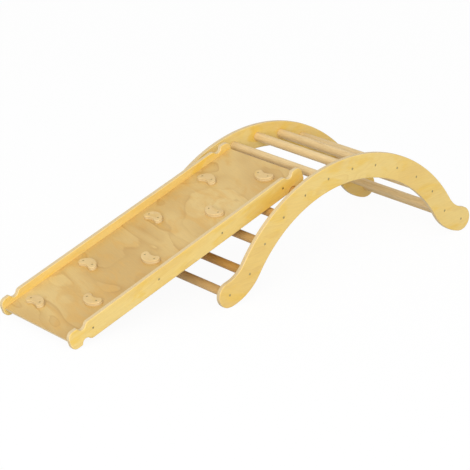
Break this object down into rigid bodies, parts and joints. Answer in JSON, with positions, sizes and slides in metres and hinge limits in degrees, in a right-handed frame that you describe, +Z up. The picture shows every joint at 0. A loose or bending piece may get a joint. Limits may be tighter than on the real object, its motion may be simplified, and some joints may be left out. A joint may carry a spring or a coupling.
{
  "type": "wooden climbing set",
  "caption": "Low curved climbing arch of plywood side panels and round rungs, with a notched climbing ramp with holds hooked over a rung.",
  "frame": {"origin": "on the floor, at the middle of the set's length and width", "axes": "+Z up, +X along the set from the foot of the ramp to the far end of the arch, Y along the rungs; the near side panel is at -Y"},
  "size_m": [1.554, 0.45, 0.3575],
  "materials": {
    "birch_ply": "clear-lacquered birch plywood, satin",
    "board_ply": "clear-lacquered rotary-cut birch plywood, satin",
    "beech_dowel": "lacquered beech dowel, satin",
    "hold_ply": "sanded and lacquered birch plywood with rounded edges",
    "bronzed_steel": "dark bronzed countersunk screw"
  },
  "bodies": {
    "arch": {"side_panel_near": "birch_ply", "side_panel_far": "birch_ply", "rung_01": "beech_dowel", "rung_02": "beech_dowel", "rung_03": "beech_dowel", "rung_04": "beech_dowel", "rung_05": "beech_dowel", "rung_06": "beech_dowel", "rung_07": "beech_dowel", "rung_08": "beech_dowel", "rung_09": "beech_dowel", "rung_10": "beech_dowel", "rung_11": "beech_dowel", "rung_12": "beech_dowel", "rung_13": "beech_dowel", "bolt_near_01": "bronzed_steel", "bolt_near_02": "bronzed_steel", "bolt_near_03": "bronzed_steel", "bolt_near_04": "bronzed_steel", "bolt_near_05": "bronzed_steel", "bolt_near_06": "bronzed_steel", "bolt_near_07": "bronzed_steel", "bolt_near_08": "bronzed_steel", "bolt_near_09": "bronzed_steel", "bolt_near_10": "bronzed_steel", "bolt_near_11": "bronzed_steel", "bolt_near_12": "bronzed_steel", "bolt_near_13": "bronzed_steel", "bolt_far_01": "bronzed_steel", "bolt_far_02": "bronzed_steel", "bolt_far_03": "bronzed_steel", "bolt_far_04": "bronzed_steel", "bolt_far_05": "bronzed_steel", "bolt_far_06": "bronzed_steel", "bolt_far_07": "bronzed_steel", "bolt_far_08": "bronzed_steel", "bolt_far_09": "bronzed_steel", "bolt_far_10": "bronzed_steel", "bolt_far_11": "bronzed_steel", "bolt_far_12": "bronzed_steel", "bolt_far_13": "bronzed_steel"},
    "ramp": {"ramp_rail_near": "birch_ply", "ramp_rail_far": "birch_ply", "ramp_board": "board_ply", "hold_near_1": "hold_ply", "hold_near_2": "hold_ply", "hold_near_3": "hold_ply", "hold_near_4": "hold_ply", "hold_far_1": "hold_ply", "hold_far_2": "hold_ply", "hold_far_3": "hold_ply", "hold_far_4": "hold_ply", "rail_screw_near_1": "bronzed_steel", "rail_screw_near_2": "bronzed_steel", "rail_screw_near_3": "bronzed_steel", "rail_screw_near_4": "bronzed_steel", "rail_screw_far_1": "bronzed_steel", "rail_screw_far_2": "bronzed_steel", "rail_screw_far_3": "bronzed_steel", "rail_screw_far_4": "bronzed_steel"}
  },
  "joints": [
    {"name": "ramp_lift", "type": "slide", "parent": "arch", "child": "ramp", "axis": [-0.3274, 0, 0.9449], "range_m": [0, 0.2]}
  ]
}
